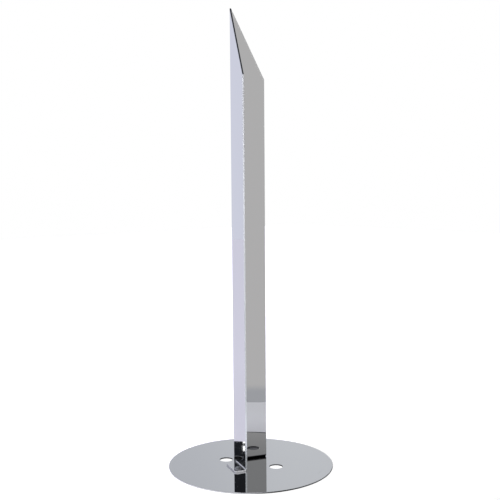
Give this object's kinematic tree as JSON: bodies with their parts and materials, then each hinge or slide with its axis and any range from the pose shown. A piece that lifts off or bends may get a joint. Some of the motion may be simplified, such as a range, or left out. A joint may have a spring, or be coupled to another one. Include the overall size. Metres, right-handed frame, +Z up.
{
  "type": "ground spike with round mounting plate",
  "caption": "Right-angle sheet-metal ground spike cut to a point, with folded feet riveted to a thin round plate that has bolt holes; mirror chrome.",
  "frame": {"origin": "middle of the base plate's underside", "axes": "+Z up along the spike, towards its point; +X from the plate's middle towards the open side of the angle section, along the line of the plate's holes; the object is symmetric about XZ"},
  "size_m": [0.15, 0.15, 0.41],
  "materials": {
    "plate_chrome": "mirror",
    "spike_chrome": "mirror",
    "rivet_chrome": "mirror"
  },
  "bodies": {
    "root": {"base_plate": "plate_chrome", "angle_spike": "spike_chrome", "foot_rivets": "rivet_chrome"}
  },
  "joints": []
}
